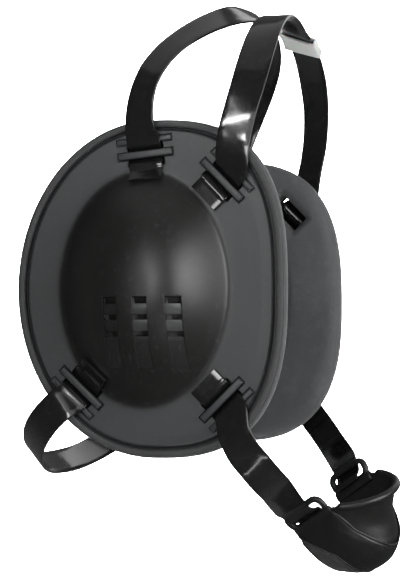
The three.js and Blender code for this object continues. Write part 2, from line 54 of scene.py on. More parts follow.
# %% Camera
camera_data = bpy.data.cameras.new("camera")
camera = bpy.data.objects.new("camera", camera_data)
bpy.context.scene.collection.objects.link(camera)
camera_data.sensor_fit = "VERTICAL"
camera_data.sensor_height = 36.0
camera_data.lens = 98.3
camera_data.clip_start = 0.05
camera_data.clip_end = 20.0
CAMERA_AT = Vector((-763.4, -186.8, -32.4)) * MM
CAMERA_WAY = Vector((0.9715, 0.2332, 0.0429)).normalized()
camera.location = CAMERA_AT
camera.rotation_euler = CAMERA_WAY.to_track_quat("-Z", "Y").to_euler()
bpy.context.scene.camera = camera
print("camera is", round(CAMERA_AT.length, 3), "m from the middle of the head")

# %% [markdown]
# ## Floor and light
# A worn guard hangs in the air, so the floor lies well below it and bends up into a backdrop far
# behind, with no corner to see. Glossy rubber shows mostly what it reflects, so the lights are
# placed by their reflections: a small one with a narrow beam draws the bright band across the
# front strap and two ahead of the face light the dome's front wall. The others stay faint, but
# for the strong one that whitens the part of the backdrop behind the guard. The floor is kept
# out of the reflections, or it would turn the black rubber grey.

# %% Floor, backdrop and lights
def link(obj):
    bpy.context.scene.collection.objects.link(obj)
    return obj


def mesh_object(name, points, faces, smooth_angle=40):
    """An object from points in metres and faces, shaded smooth across edges flatter than the angle."""
    mesh = bpy.data.meshes.new(name)
    mesh.from_pydata([tuple(p) for p in points], [], faces)
    mesh.validate()
    return placed(name, mesh, smooth_angle)


def placed(name, mesh, smooth_angle):
    shade(mesh, smooth_angle)
    return link(bpy.data.objects.new(name, mesh))


def shade(mesh, smooth_angle):
    """Smooth shading, kept crisp where two faces meet at more than the angle."""
    for polygon in mesh.polygons:
        polygon.use_smooth = True
    mesh.set_sharp_from_angle(angle=math.radians(smooth_angle))


FLOOR_Z = -0.42
FLOOR_START = -3.0
FLOOR_HALF_WIDTH = 4.0
BACKDROP_AT = 1.9
BACKDROP_TOP = 3.5
SWEEP_RADIUS = 0.8
SWEEP_STEPS = 12
SWEEP_X = BACKDROP_AT - SWEEP_RADIUS
sweep = [(FLOOR_START, FLOOR_Z), (SWEEP_X, FLOOR_Z)]
for step in range(1, SWEEP_STEPS + 1):
    bend = math.radians(90 * step / SWEEP_STEPS)
    x = SWEEP_X + SWEEP_RADIUS * math.sin(bend)
    sweep.append((x, FLOOR_Z + SWEEP_RADIUS - SWEEP_RADIUS * math.cos(bend)))
sweep.append((BACKDROP_AT, BACKDROP_TOP))
floor_points = []
for x, z in sweep:
    floor_points.append((x, -FLOOR_HALF_WIDTH, z))
    floor_points.append((x, FLOOR_HALF_WIDTH, z))
floor_faces = [(2 * i, 2 * i + 1, 2 * i + 3, 2 * i + 2) for i in range(len(sweep) - 1)]
floor = mesh_object("floor", floor_points, floor_faces)


def panel(name, at, size, watts, towards=(0, 0, 0), spread=None):
    """A light of that size in metres, facing a point, with its beam narrowed to so many degrees."""
    light = bpy.data.lights.new(name, "AREA")
    light.shape = "RECTANGLE"
    light.size = size[0]
    light.size_y = size[1]
    light.energy = watts
    if spread:
        light.spread = math.radians(spread)
    lamp = link(bpy.data.objects.new(name, light))
    lamp.location = at
    lamp.visible_camera = False
    lamp.rotation_euler = (Vector(towards) - Vector(at)).to_track_quat("-Z", "Y").to_euler()
    return lamp


FRONT_STRAP_AT = (-0.089, -0.042, 0.12)
CUP_FOOT_AT = (-0.09, -0.045, -0.079)
LIGHTS = (
    ("narrow_beside_camera", (-0.84, 0.09, 0.45), (0.2, 0.06), 0.02, FRONT_STRAP_AT, 14),
    ("soft_beside_camera", (-0.86, 0.03, 0.12), (0.14, 0.3), 1.7),
    ("ahead_of_camera", (-0.6, -1.05, 0.25), (0.4, 0.6), 6),
    ("tall_ahead", (-0.25, -1.2, 0.25), (0.6, 0.8), 9),
    ("broad_at_camera", (-1.9, -0.3, 0.5), (1.0, 1.2), 7),
    ("faint_above", (0.1, 0.1, 1.4), (1.6, 1.6), 2.5),
    ("faint_far_side", (1.3, -0.5, 0.7), (1.0, 1.0), 3.5),
    ("thin_below", (-0.5, -0.35, -0.36), (0.3, 0.02), 0.25, CUP_FOOT_AT),
    ("on_backdrop", (0.9, 0.45, 1.6), (1.2, 1.2), 150, (BACKDROP_AT, 0.45, 0.1), 80),
)
for light_row in LIGHTS:
    panel(*light_row)
floor.visible_glossy = False
bpy.context.scene.view_settings.view_transform = "Standard"

world = bpy.data.worlds.new("studio_air")
world.use_nodes = True
air = world.node_tree.nodes["Background"]
air.inputs["Color"].default_value = (1.0, 1.0, 1.0, 1.0)
air.inputs["Strength"].default_value = 0.1
bpy.context.scene.world = world

# %% [markdown]
# ## A language for shaders
# A finish is a sum of masks: a little grain, some dust, a brighter edge. Written as plain maths
# it stays readable, so one small class wraps a node's output and lets it be used with + - and *.
# Every other node comes from one method, which takes the node's settings and its inputs.

# %% Socket maths
class Finish:
    """A material and the one place where its nodes are made."""

    def __init__(self, name):
        self.material = bpy.data.materials.new(name)
        self.material.use_nodes = True
        self.tree = self.material.node_tree
        self.tree.nodes.clear()

    def node(self, kind, settings=None, inputs=None, output=0):
        """Adds a node, sets it, feeds its sockets and returns one of its outputs."""
        made = self.tree.nodes.new(kind)
        for key, value in (settings or {}).items():
            setattr(made, key, value)
        for key, value in (inputs or {}).items():
            socket = made.inputs[key]
            if isinstance(value, Value):
                self.tree.links.new(value.socket, socket)
            else:
                socket.default_value = value
        return Value(self, made.outputs[output]) if made.outputs else None

    def maths(self, operation, a, b):
        return self.node("ShaderNodeMath", {"operation": operation}, {0: a, 1: b})

    def place(self):
        """The point on the piece, in millimetres, the same wherever the piece is seen from."""
        spot = self.node("ShaderNodeTexCoord", output=3)
        return self.node("ShaderNodeVectorMath", {"operation": "SCALE"}, {0: spot, 3: 1000.0})

    def noise(self, where, scale, detail=3.0, roughness=0.5):
        wanted = {"Vector": where, "Scale": scale, "Detail": detail, "Roughness": roughness}
        return self.node("ShaderNodeTexNoise", inputs=wanted)

    def mix(self, share, first, second):
        """A colour between two, by a share from 0 to 1."""
        colours = {0: share, 6: first, 7: second}
        return self.node("ShaderNodeMix", {"data_type": "RGBA"}, colours, output=2)

    def between(self, value, low, high):
        """0 below low, 1 above high and straight in between."""
        limits = {0: value, 1: low, 2: high, 3: 0.0, 4: 1.0}
        return self.node("ShaderNodeMapRange", inputs=limits)

    def painted(self, name):
        """A value that was stored on the mesh's points."""
        return self.node("ShaderNodeAttribute", {"attribute_name": name}, output=2)

    def bump(self, height, strength, depth):
        return self.node("ShaderNodeBump", inputs={"Height": height, "Strength": strength, "Distance": depth})

    def surface(self, colour, rough, normal=None, fixed=None):
        """The shader itself. Colour, roughness and normal may vary, the fixed inputs are numbers."""
        inputs = {**(fixed or {}), "Base Color": colour, "Roughness": rough}
        if normal:
            inputs["Normal"] = normal
        shader = self.node("ShaderNodeBsdfPrincipled", inputs=inputs)
        self.node("ShaderNodeOutputMaterial", inputs={"Surface": shader})
        return self.material


class Value:
    """One output socket that can be used in sums."""

    def __init__(self, finish, socket):
        self.finish = finish
        self.socket = socket

    def __add__(self, other):
        return self.finish.maths("ADD", self, other)

    def __radd__(self, other):
        return self.finish.maths("ADD", other, self)

    def __sub__(self, other):
        return self.finish.maths("SUBTRACT", self, other)

    def __mul__(self, other):
        return self.finish.maths("MULTIPLY", self, other)


def grey(level, warm=0.0):
    """A linear grey with a trace of warmth or, below zero, of blue."""
    return (level * (1 + warm), level, level * (1 - warm), 1.0)


# %% [markdown]
# ## Moulded shell plastic
# The cups are moulded from a tough black plastic with a fine, even grain that turns the light
# satin. The dome is smoother than the flange, and its colour is made blacker as painted shade.
# The rungs in its vents are made greyer as a painted highlight, so the mesh carries two painted
# values that say which is which. The rearmost vent, which the dome's curve keeps in shade, has
# dark rungs with almost none of that highlight, and so has every vent where it runs out into the
# dome. Fingers and mats polish the surface in faint patches, so the roughness drifts slowly,
# while the grain is a small bump.

# %% Shell finish
def shell_finish():
    f = Finish("moulded_shell")
    spot = f.place()
    dome = f.painted("dome")
    rung = f.painted("rung")
    grain = f.noise(spot, 2.6, detail=2.0)
    drift = f.noise(spot, 0.045, detail=3.0)
    scuff = f.between(f.noise(spot, 0.35, detail=6.0, roughness=0.7), 0.56, 0.72)
    flange_colour = f.mix(drift, grey(0.02, -0.06), grey(0.03, -0.06))
    # Painted shade: the dome gets a blacker colour than the flange, on top of its smoother finish.
    shaded_dome_colour = f.mix(drift, grey(0.006, 0.02), grey(0.01, 0.02))
    colour = f.mix(dome, flange_colour, shaded_dome_colour)
    # Painted highlight: the rungs are made greyer, as if lit, only faintly where their painted value is low.
    colour = f.mix(rung, colour, grey(0.032, -0.03))
    colour = f.mix(scuff * 0.25, colour, grey(0.06, -0.02))
    rough = 0.44 + drift * 0.1 + scuff * 0.08 - dome * 0.07
    normal = f.bump(grain, 0.12, 0.0002)
    return f.surface(colour, rough, normal, {"Specular IOR Level": 0.5})


SHELL_FINISH = shell_finish()


# %% [markdown]
# ## Rim bead
# A softer, light grey bead seals the edge. It is matte and slightly chalky, and it catches dirt
# along its length, so its colour wanders a little more than the shell's.

# %% Rim finish
def rim_finish():
    f = Finish("rim_bead")
    spot = f.place()
    drift = f.noise(spot, 0.09, detail=4.0, roughness=0.6)
    speck = f.between(f.noise(spot, 1.3, detail=3.0), 0.58, 0.7)
    colour = f.mix(drift, grey(0.03, -0.02), grey(0.052, -0.02))
    colour = f.mix(speck * 0.4, colour, grey(0.018))
    normal = f.bump(f.noise(spot, 1.8, detail=3.0), 0.15, 0.0003)
    rough = 0.58 + drift * 0.16
    return f.surface(colour, rough, normal, {"Specular IOR Level": 0.4})


RIM_FINISH = rim_finish()


# %% [markdown]
# ## Foam skin
# The rings are closed-cell foam. Its skin is matte with fine pores and, wherever the foam is
# squeezed, shallow creases. Pores and creases are two noises of very different size.

# %% Pad finish
def pad_finish():
    f = Finish("foam_skin")
    spot = f.place()
    pores = f.node("ShaderNodeTexVoronoi", {"feature": "F1"}, {"Vector": spot, "Scale": 1.1})
    crease = f.noise(spot, 0.16, detail=5.0, roughness=0.62)
    dust = f.between(crease, 0.5, 0.75)
    colour = f.mix(dust * 0.6, grey(0.06, -0.03), grey(0.085, -0.03))
    height = pores * 0.35 + crease * 1.6
    rough = 0.7 + crease * 0.2
    normal = f.bump(height, 0.3, 0.0006)
    fixed = {"Specular IOR Level": 0.35, "Sheen Weight": 0.15, "Sheen Roughness": 0.5}
    return f.surface(colour, rough, normal, fixed)


PAD_FINISH = pad_finish()


# %% [markdown]
# ## Glossy rubber
# The straps are smooth black rubber, wiped clean, so they mirror the lights in long bands. A
# real strap is never quite flat: a slow swell bends those bands, and faint smears dull them.

# %% Strap finish
def strap_finish():
    f = Finish("glossy_rubber")
    spot = f.place()
    swell = f.noise(spot, 0.05, detail=2.0)
    smear = f.between(f.noise(spot, 0.4, detail=5.0, roughness=0.65), 0.5, 0.8)
    colour = f.mix(smear, grey(0.007), grey(0.014))
    rough = 0.11 + smear * 0.08 + swell * 0.03
    normal = f.bump(swell, 0.08, 0.002)
    return f.surface(colour, rough, normal, {"Specular IOR Level": 0.5})


STRAP_FINISH = strap_finish()


# %% [markdown]
# ## Keeper plastic and chin rubber
# The keeper is a pale, slightly translucent plastic, so a little light spreads under its skin.
# The chin cup is a dull rubber with a soft bloom on it, rougher than the straps. Its sole is
# coloured a lighter grey, which a painted value marks.

# %% Keeper and chin finishes
def keeper_finish():
    f = Finish("pale_plastic")
    spot = f.place()
    cloud = f.noise(spot, 0.25, detail=4.0)
    colour = f.mix(cloud, (0.46, 0.47, 0.46, 1.0), (0.6, 0.61, 0.59, 1.0))
    normal = f.bump(f.noise(spot, 0.9, detail=3.0), 0.15, 0.0004)
    fixed = {"Subsurface Weight": 0.15, "Subsurface Scale": 0.002}
    return f.surface(colour, 0.32 + cloud * 0.15, normal, fixed)


def chin_finish():
    f = Finish("dull_rubber")
    spot = f.place()
    bloom = f.noise(spot, 0.12, detail=4.0, roughness=0.6)
    pits = f.between(f.noise(spot, 1.6, detail=4.0), 0.35, 0.65)
    colour = f.mix(bloom, grey(0.004), grey(0.009))
    colour = f.mix(f.painted("sole"), colour, grey(0.035))
    normal = f.bump(pits * 0.4 + bloom * 1.2, 0.18, 0.0005)
    rough = 0.3 + bloom * 0.2
    return f.surface(colour, rough, normal, {"Specular IOR Level": 0.5})


def floor_finish():
    f = Finish("studio_floor")
    soft = f.noise(f.place(), 0.004, detail=2.0)
    return f.surface(f.mix(soft, grey(0.86), grey(0.9)), 0.9)


KEEPER_FINISH = keeper_finish()
CHIN_FINISH = chin_finish()
floor.data.materials.append(floor_finish())


def dress(obj, finish, slot, *nodes):
    """Gives a piece its finish, rides it on the guard and lets it stand for solids."""
    obj.data.materials.clear()
    obj.data.materials.append(finish)
    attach(obj, "root")
    if nodes:
        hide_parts(*nodes)
    return obj


# %% [markdown]
# ## The cup's measures
# These are the same numbers as in the solids, in millimetres. In a cup's own frame x runs
# forward, y up and z out of the head. The outline is a squared oval in front, round behind.

# %% Cup measures
FACE_X = 85
CUP_FRONT = 59.9
CUP_REAR = 62.5
CUP_HALF_HEIGHT = 75
FRONT_SQUARENESS = 2.74
SHELL_WALL = 2.4
GAP = 0.3
RIM_INSET = 0.7
RIM_WIDTH = 3.3
RIM_CROWN = 1.1
RIM_EDGE = RIM_INSET + RIM_WIDTH + GAP
DOME_X = -3.2
DOME_Y = -0.3
DOME_HALF_WIDTH = 38
DOME_HALF_HEIGHT = 51.5
DOME_RISE = 26
DOME_LEAN = 7
DOME_BULGE = 2.4
DOME_SOFTNESS = 1.15
FILLET = 1.3
AROUND = 160


def outline_radius(angle, inset):
    """Distance from the cup's centre to its outline."""
    c = math.cos(angle)
    s = math.sin(angle)
    reach = (CUP_FRONT if c > 0 else CUP_REAR) - inset
    power = FRONT_SQUARENESS if c > 0 else 2
    total = abs(c / reach) ** power + abs(s / (CUP_HALF_HEIGHT - inset)) ** power
    return total ** (-1 / power)


def angles():
    return [2 * math.pi * i / AROUND for i in range(AROUND)]


def outline_ring(inset, z):
    ring = []
    for angle in angles():
        r = outline_radius(angle, inset)
        ring.append(Vector((r * math.cos(angle), r * math.sin(angle), z)))
    return ring


def oval_ring(half_width, half_height, shift, z):
    ring = []
    for angle in angles():
        r = 1 / math.hypot(math.cos(angle) / half_width, math.sin(angle) / half_height)
        ring.append(Vector((DOME_X + shift + r * math.cos(angle), DOME_Y + r * math.sin(angle), z)))
    return ring


def dome_height(share):
    """Height of the outer skin over the flange, with a fillet where the dome meets it."""
    if share < 1:
        bare = DOME_RISE * (1 - share ** DOME_BULGE) ** DOME_SOFTNESS
    else:
        bare = -2.2 * DOME_RISE * (share - 1)
    return (bare + math.sqrt(bare * bare + FILLET * FILLET)) / 2


def dome_share_at(x, y):
    """How far out a point lies on the dome, 0 at its top and 1 at its foot."""
    low = 0.0
    high = 1.6
    for _ in range(30):
        share = (low + high) / 2
        across = (x - DOME_X - DOME_LEAN * (1 - share)) / DOME_HALF_WIDTH
        along = (y - DOME_Y) / DOME_HALF_HEIGHT
        if math.hypot(across, along) > share:
            low = share
        else:
            high = share
    return high


def skin_height(x, y):
    return dome_height(dome_share_at(x, y))


print("skin over the middle of the vents:", round(skin_height(1.7, -20), 1), "mm")

# %% [markdown]
# ## Skins from rings
# Almost every piece here is a row of closed rings with a skin between them, so one helper does
# that work. A wrapped skin closes on itself like a tyre, any other gets a fan at each end.

# %% Ring skins
def skin(rings, wrapped=False):
    """Points and faces of a skin over rings of equal count."""
    count = len(rings[0])
    points = [p for ring in rings for p in ring]
    faces = []
    spans = len(rings) if wrapped else len(rings) - 1
    for i in range(spans):
        here = i * count
        there = ((i + 1) % len(rings)) * count
        for j in range(count):
            k = (j + 1) % count
            faces.append((here + j, here + k, there + k, there + j))
    if not wrapped:
        for base, turn in ((0, 1), ((len(rings) - 1) * count, -1)):
            middle = sum((points[base + j] for j in range(count)), Vector()) / count
            points.append(middle)
            for j in range(count):
                k = (j + 1) % count
                faces.append((base + k, base + j, len(points) - 1)[::turn])
    return points, faces


def tidy(obj):
    """Makes every face of a closed piece point out."""
    work = bmesh.new()
    work.from_mesh(obj.data)
    bmesh.ops.recalc_face_normals(work, faces=work.faces)
    work.to_mesh(obj.data)
    work.free()
    return obj


def from_rings(name, rings, wrapped=False, place=Matrix.Identity(4), smooth_angle=40):
    """A closed piece from rings in millimetres, put in place in metres."""
    points, faces = skin(rings, wrapped)
    return tidy(mesh_object(name, [(place @ p) * MM for p in points], faces, smooth_angle))


def join(name, pieces, smooth_angle=40):
    """One object from several, each still a closed skin of its own."""
    work = bmesh.new()
    for piece in pieces:
        work.from_mesh(piece.data)
        bpy.data.objects.remove(piece)
    mesh = bpy.data.meshes.new(name)
    work.to_mesh(mesh)
    work.free()
    return placed(name, mesh, smooth_angle)


def carve(obj, cutters):
    """Cuts pieces out of an object and throws the cutters away."""
    for cutter in cutters:
        cut = obj.modifiers.new("cut", "BOOLEAN")
        cut.operation = "DIFFERENCE"
        cut.solver = "EXACT"
        cut.object = cutter
        done = bpy.data.meshes.new_from_object(obj.evaluated_get(bpy.context.evaluated_depsgraph_get()))
        obj.modifiers.clear()
        obj.data = done
        bpy.data.objects.remove(cutter)
    return obj


def mirror_copy(obj, name, smooth_angle=40):
    """The same piece for the other side of the head."""
    mesh = obj.data.copy()
    mesh.name = name
    mesh.transform(Matrix.Scale(-1, 4, Vector((1, 0, 0))))
    mesh.flip_normals()
    return placed(name, mesh, smooth_angle)


BEVEL_STEPS = 3
QUARTERS = ((1, 1, 0), (-1, 1, 90), (-1, -1, 180), (1, -1, 270))


def rounded_box(name, low, high, radius, place):
    """A box with rounded edges between two corners in millimetres."""
    work = bmesh.new()
    bmesh.ops.create_cube(work, size=1.0)
    for corner in work.verts:
        corner.co = Vector(tuple(low[i] if corner.co[i] < 0 else high[i] for i in range(3)))
    bevel = {"offset": radius, "segments": BEVEL_STEPS, "profile": 0.5, "affect": "EDGES"}
    bmesh.ops.bevel(work, geom=work.edges[:], **bevel)
    for corner in work.verts:
        corner.co = (place @ corner.co) * MM
    mesh = bpy.data.meshes.new(name)
    work.to_mesh(mesh)
    work.free()
    return tidy(placed(name, mesh, 50))


def rounded_ring(half_x, half_y, corner, z, steps):
    """A ring round a rectangle with round corners, so many steps to each."""
    ring = []
    for sx, sy, start in QUARTERS:
        for step in range(steps + 1):
            turn = math.radians(start + 90 / steps * step)
            ring.append(Vector((sx * (half_x - corner) + corner * math.cos(turn),
                                sy * (half_y - corner) + corner * math.sin(turn), z)))
    return ring


def axes(x_way, y_way, z_way, at):
    """A place from the ways of its three axes and its origin."""
    place = Matrix.Identity(4)
    for column, way in enumerate((x_way, y_way, z_way)):
        place.col[column] = (*way, 0)
    place.col[3] = (*at, 1)
    return place


def cup_matrix(side):
    """A cup's place, with side -1 for the right cup and 1 for the left one."""
    return axes((0, side, 0), (0, 0, 1), (side, 0, 0), (side * FACE_X, 0, 0))


def paint(obj, name, values):
    """Stores a value on each of the first points of a piece, for its finish to read."""
    layer = obj.data.attributes.new(name, "FLOAT", "POINT")
    for index, value in enumerate(values):
        layer.data[index].value = value


RIGHT_CUP = cup_matrix(-1)

# %% [markdown]
# ## Shell
# One moulding makes the dome, the flange round it and the groove that the bead sits in. It could
# be sculpted, but its form is regular, so rings follow it: close together where it bends hard,
# at the fillet and the groove, and wide apart on the flange.

# %% Shell body
def shell_rings():
    rings = []
    for share in [0.015, 0.06, 0.12, 0.18, 0.24, 0.3, 0.36, 0.42, 0.48, 0.54, 0.6, 0.65, 0.7, 0.75,
                  0.79, 0.83, 0.865, 0.895, 0.92, 0.942, 0.96, 0.975, 0.988, 1.0]:
        lean = DOME_LEAN * (1 - share)
        rings.append(oval_ring(DOME_HALF_WIDTH * share, DOME_HALF_HEIGHT * share, lean, dome_height(share)))
    foot = oval_ring(DOME_HALF_WIDTH, DOME_HALF_HEIGHT, 0, 0)
    lip = outline_ring(RIM_EDGE + 1.7, 0)
    for t in (0.03, 0.06, 0.1, 0.16, 0.26, 0.4, 0.54, 0.66, 0.74, 0.8, 0.84, 0.92, 0.97, 1.0):
        ring = []
        for angle, inner, outer in zip(angles(), foot, lip):
            p = inner.lerp(outer, t)
            share = math.hypot((p.x - DOME_X) / DOME_HALF_WIDTH, (p.y - DOME_Y) / DOME_HALF_HEIGHT)
            front = max(0.0, math.cos(angle)) ** 0.5
            fall = 0.45 * front * max(0.0, t - 0.8) / 0.2
            ring.append(Vector((p.x, p.y, max(0.0, dome_height(share)) - fall)))
        rings.append(ring)
    for extra, depth in ((1.35, 0.12), (1.0, 0.45), (0.75, 1.0), (0.5, 1.45), (0.2, 1.6), (0.0, 1.6)):
        rings.append(outline_ring(RIM_EDGE + extra, -depth))
    rings.append(outline_ring(RIM_EDGE, -SHELL_WALL + 0.2))
    rings.append(outline_ring(RIM_EDGE + 0.2, -SHELL_WALL))
    for share in (1, 0.975, 0.94, 0.89, 0.82, 0.72, 0.58, 0.42, 0.25, 0.08):
        lean = DOME_LEAN * (1 - share)
        bare = (1 - share ** DOME_BULGE) ** DOME_SOFTNESS
        z = (DOME_RISE - SHELL_WALL) * bare - SHELL_WALL
        half_width = (DOME_HALF_WIDTH - SHELL_WALL) * share
        rings.append(oval_ring(half_width, (DOME_HALF_HEIGHT - SHELL_WALL) * share, lean, z))
    return rings


shell = from_rings("shell_body", shell_rings(), place=RIGHT_CUP)
print("shell faces:", len(shell.data.polygons))

# %% [markdown]
# ## Vents and anchors
# Three channels run down the dome, and small rungs cross them like a ladder's. The channels are
# cut with tools whose floor follows the dome and whose mouth flares a little, so that the cut
# leaves a soft edge as a mould does. The rungs and the strap bars are rounded bars set in.

# %% Vents
VENT_WIDTH = 6.9
VENT_PITCH = 14
VENT_SHIFT = 1.7
VENT_TOP = -4.5
VENT_LENGTH = 31.5
WINDOW_DEPTH = 1.9
RUNG_DEPTH = 0.55
RUNGS = ((0.1, 0.245), (0.32, 0.47), (0.545, 0.97))


def vent_fade(y):
    """How deep a channel still is: full above, running out to almost nothing at its lower end."""
    return min(1.0, max(0.12, (y - VENT_TOP + VENT_LENGTH) / 13))


def channel_cutter(left):
    """A tool with rings of points from the channel's floor to above the skin."""
    rings = []
    levels = ((WINDOW_DEPTH, -0.7), (WINDOW_DEPTH - 0.45, -0.3), (0.4, -0.3), (0.1, -0.2), (-0.2, 0.1))
    for drop, flare in levels:
        ring = []
        low_x = left - flare
        high_x = left + VENT_WIDTH + flare
        low_y = VENT_TOP - VENT_LENGTH - flare
        high_y = VENT_TOP + flare
        across = [low_x + (high_x - low_x) * i / 6 for i in range(6)]
        upward = [low_y + (high_y - low_y) * i / 24 for i in range(24)]
        edge = [(x, low_y) for x in across] + [(high_x, y) for y in upward]
        edge += [(low_x + high_x - x, high_y) for x in across] + [(low_x, low_y + high_y - y) for y in upward]
        for x, y in edge:
            ring.append(Vector((x, y, skin_height(x, y) - (drop * vent_fade(y) if drop > 0 else drop))))
        rings.append(ring)
    rings.append([Vector((p.x, p.y, p.z + 4)) for p in rings[-1]])
    return from_rings("channel", rings, place=RIGHT_CUP)


lefts = [VENT_SHIFT + step * VENT_PITCH - VENT_WIDTH / 2 for step in (-1, 0, 1)]
carve(shell, [channel_cutter(left) for left in lefts])


def rung(left, start, end):
    """A rounded bar across a channel, bent to the dome."""
    top = VENT_TOP - start * VENT_LENGTH
    bottom = VENT_TOP - end * VENT_LENGTH
    rings = []
    steps = 8
    for i in range(steps + 1):
        x = left + VENT_WIDTH * i / steps
        rows = max(3, round((top - bottom) / 1.2))
        ring = []
        for j in range(rows + 1):
            y = bottom + (top - bottom) * j / rows
            soft = 0.35 if j in (0, rows) else 0.0
            ring.append(Vector((x, y, skin_height(x, y) - (RUNG_DEPTH + soft) * vent_fade(y))))
        for j in range(rows + 1):
            y = top - (top - bottom) * j / rows
            ring.append(Vector((x, y, skin_height(x, y) - WINDOW_DEPTH * vent_fade(y) - 0.25)))
        rings.append(ring)
    return from_rings("rung", rings, place=RIGHT_CUP, smooth_angle=50)


rungs = [rung(left, start, end) for left in lefts for start, end in RUNGS]
print("rungs:", len(rungs))

# %% Anchors
STRAP_WIDTH = 15
STRAP_THICKNESS = 1.4
BAR_LENGTH = 24.5
BAR_WIDTH = 2.8
BAR_CROWN = 2.0
BAR_SINK = 0.5
SLOT_WIDTH = 3.8
RIB_WIDTH = 2.2
RIB_CROWN = 0.5
TAIL_LENGTH = 11.5
SLOT_REACH = BAR_WIDTH / 2 + SLOT_WIDTH
SLOT_HALF = STRAP_WIDTH / 2 + 0.7
# Each anchor's angle on the outline, the angle that it faces and how far in from the edge it is.
ANCHORS = {
    "top_rear": (92.5, 95.5, 15.8),
    "top_front": (55.5, 43.8, 18.8),
    "bottom_front": (-56.9, -45.2, 17.4),
    "bottom_rear": (234.1, 226.5, 15.6),
}


def anchor_matrix(at, faces, inset):
    """x runs outward from the dome, y along the bar and z out of the head."""
    angle = math.radians(at)
    r = outline_radius(angle, 0) - inset
    place = Matrix.Rotation(math.radians(faces), 4, "Z")
    place.translation = Vector((r * math.cos(angle), r * math.sin(angle), 0))
    return place


def slot_cutter(place):
    """A tool for an anchor's pocket, with a mouth that flares like the vents'."""
    rings = []
    for z, flare in ((-6, 0), (-0.5, 0), (-0.15, 0.12), (0.1, 0.4), (8, 0.8)):
        rings.append(rounded_ring(SLOT_REACH + flare, SLOT_HALF + flare, 0.8, z, 3))
    return from_rings("slot", rings, place=place)


SEAT = 0.7
SEAT_TOP = 3
BAR_SEAT_BOTTOM = -1.3
RIB_SEAT_BOTTOM = -1.0
BAR_BOTTOM = -1.6
FULLER = 0.15
bars = []
for anchor in ANCHORS.values():
    place = RIGHT_CUP @ anchor_matrix(*anchor)
    half = BAR_LENGTH / 2
    rib_end = SLOT_REACH + RIB_WIDTH
    low = (-BAR_WIDTH / 2 - SEAT, -half - SEAT, BAR_SEAT_BOTTOM)
    bar_seat = rounded_box("bar_seat", low, (BAR_WIDTH / 2 + SEAT, half + SEAT, SEAT_TOP), 0.4, place)
    low = (SLOT_REACH - SEAT, -half - SEAT, RIB_SEAT_BOTTOM)
    rib_seat = rounded_box("rib_seat", low, (rib_end + SEAT, half + SEAT, SEAT_TOP), 0.4, place)
    carve(shell, [slot_cutter(place), bar_seat, rib_seat])
    bar_half = BAR_WIDTH / 2 + FULLER
    low = (-bar_half, -half, BAR_BOTTOM)
    bars.append(rounded_box("bar", low, (bar_half, half, BAR_CROWN), 0.6, place))
    low = (SLOT_REACH, -half, BAR_BOTTOM)
    bars.append(rounded_box("rib", low, (rib_end, half, RIB_CROWN + FULLER), 0.45, place))
print("bars and ribs:", len(bars))

shell_count = len(shell.data.vertices)
rung_count = sum(len(piece.data.vertices) for piece in rungs)
right_shell = join("right_shell_moulding", [shell] + rungs + bars, 38)
# Painted light and shade: each rung gets a painted highlight value, only a tenth of it in the rearmost vent,
# which lies in the dome's shade, and where the vents run out into the dome.
SHADED_RUNG = 0.1
# The dome value marks the dome: its smoother finish, and its blacker colour as painted shade.
dome_values = []
rung_highlight_values = []
for vertex in right_shell.data.vertices:
    ahead = -vertex.co.y / MM
    up = vertex.co.z / MM
    dome_values.append(min(1.0, max(0.0, (1.05 - dome_share_at(ahead, up)) / 0.05)))
    in_shade = ahead < VENT_SHIFT - VENT_PITCH / 2
    run_out = up < VENT_TOP - 0.52 * VENT_LENGTH
    on_rung = 0 <= vertex.index - shell_count < rung_count
    rung_highlight_values.append((SHADED_RUNG if in_shade or run_out else 1.0) if on_rung else 0.0)
paint(right_shell, "dome", dome_values)
paint(right_shell, "rung", rung_highlight_values)
left_shell = mirror_copy(right_shell, "left_shell_moulding", 38)
dress(right_shell, SHELL_FINISH, "shell", "right_shell")
dress(left_shell, SHELL_FINISH, "shell", "left_shell")

# %% [markdown]
# ## Rim bead
# The bead is one closed ring with a half-round top, pressed on the shell's edge. A ring of
# points for each place across its section gives it, with no sweep along a curve needed.

# %% Rim bead
def rim_rings():
    rings = []
    section = [(0.04, -1.0), (0.0, -0.9), (0.0, 0.0)]
    for step in range(1, 10):
        turn = math.pi * (1 - step / 10)
        section.append((0.5 + 0.5 * math.cos(turn), math.sin(turn) ** 0.8))
    section += [(1.0, 0.0), (1.0, -0.9), (0.96, -1.0)]
    for across, up in section:
        z = up * SHELL_WALL if up < 0 else up * RIM_CROWN
        rings.append(outline_ring(RIM_INSET + across * RIM_WIDTH, z))
    return rings


right_rim = from_rings("right_rim_bead", rim_rings(), True, RIGHT_CUP)
left_rim = mirror_copy(right_rim, "left_rim_bead")
dress(right_rim, RIM_FINISH, "rim", "right_rim")
dress(left_rim, RIM_FINISH, "rim", "left_rim")

# %% [markdown]
# ## Foam rings
# A foam ring is moulded, not sewn, so it has no seam: a barrelled outer wall, a broad rounded
# shoulder towards the head and an oval hole for the ear. Foam that has been worn is never quite
# even, so a slow ripple moves its faces in and out by a few tenths of a millimetre.

# %% Foam rings
PAD_THICKNESS = 12
PAD_TOP = -SHELL_WALL - GAP
EAR_HALF_WIDTH = 33
EAR_HALF_HEIGHT = 47
PAD_ROUND = PAD_THICKNESS * 0.9


